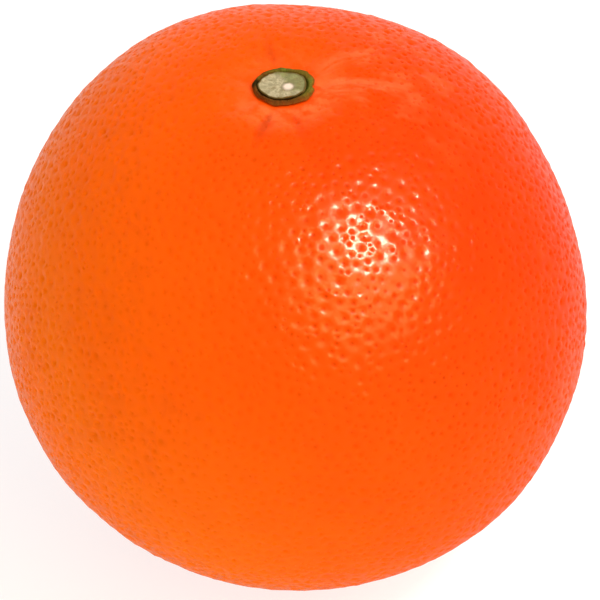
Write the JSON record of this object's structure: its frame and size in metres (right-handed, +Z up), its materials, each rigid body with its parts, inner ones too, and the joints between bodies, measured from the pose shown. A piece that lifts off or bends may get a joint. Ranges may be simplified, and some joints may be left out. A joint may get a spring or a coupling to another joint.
{
  "type": "tangelo",
  "caption": "Whole ripe tangelo with a finely pitted orange rind, a low green-brown calyx and a clipped stem, standing on a small flat spot.",
  "frame": {"origin": "middle of the fruit's outline in plan, at the height of the flat spot that it rests on", "axes": "+Z up along the fruit's core from the blossom end to the stem end, -Y towards the side that the picture was taken from, +X to the picture's right"},
  "size_m": [0.075, 0.0762, 0.0737],
  "materials": {
    "rind": null,
    "calyx": "dry, dull, olive to brown plant tissue",
    "cut_stem": "dull pale cut wood with lighter pith"
  },
  "bodies": {
    "root": {"fruit": "rind", "calyx": "calyx", "stem_stub": "cut_stem"}
  },
  "joints": []
}
